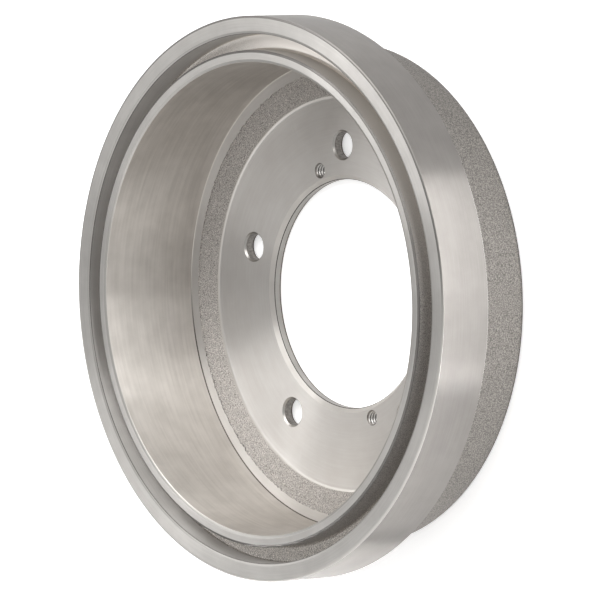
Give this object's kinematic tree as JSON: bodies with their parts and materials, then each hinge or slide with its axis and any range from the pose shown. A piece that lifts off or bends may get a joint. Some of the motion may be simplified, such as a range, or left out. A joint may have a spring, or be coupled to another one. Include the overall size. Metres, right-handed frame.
{
  "type": "brake drum",
  "caption": "Cast iron brake drum: turned barrel for the shoes, labyrinth groove round its mouth, and a flange with centre bore, stud holes and jack holes.",
  "frame": {"origin": "on the drum's axis, in the plane of its wheel face, at the centre of the base that it stands on", "axes": "+Z along the drum's axis, from the wheel face to the open mouth; +X through a stud hole"},
  "size_m": [0.3824, 0.3824, 0.0907],
  "materials": {
    "iron": "bare grey iron, turned on the working faces and as cast elsewhere"
  },
  "bodies": {
    "root": {"brake_drum": "iron"}
  },
  "joints": []
}
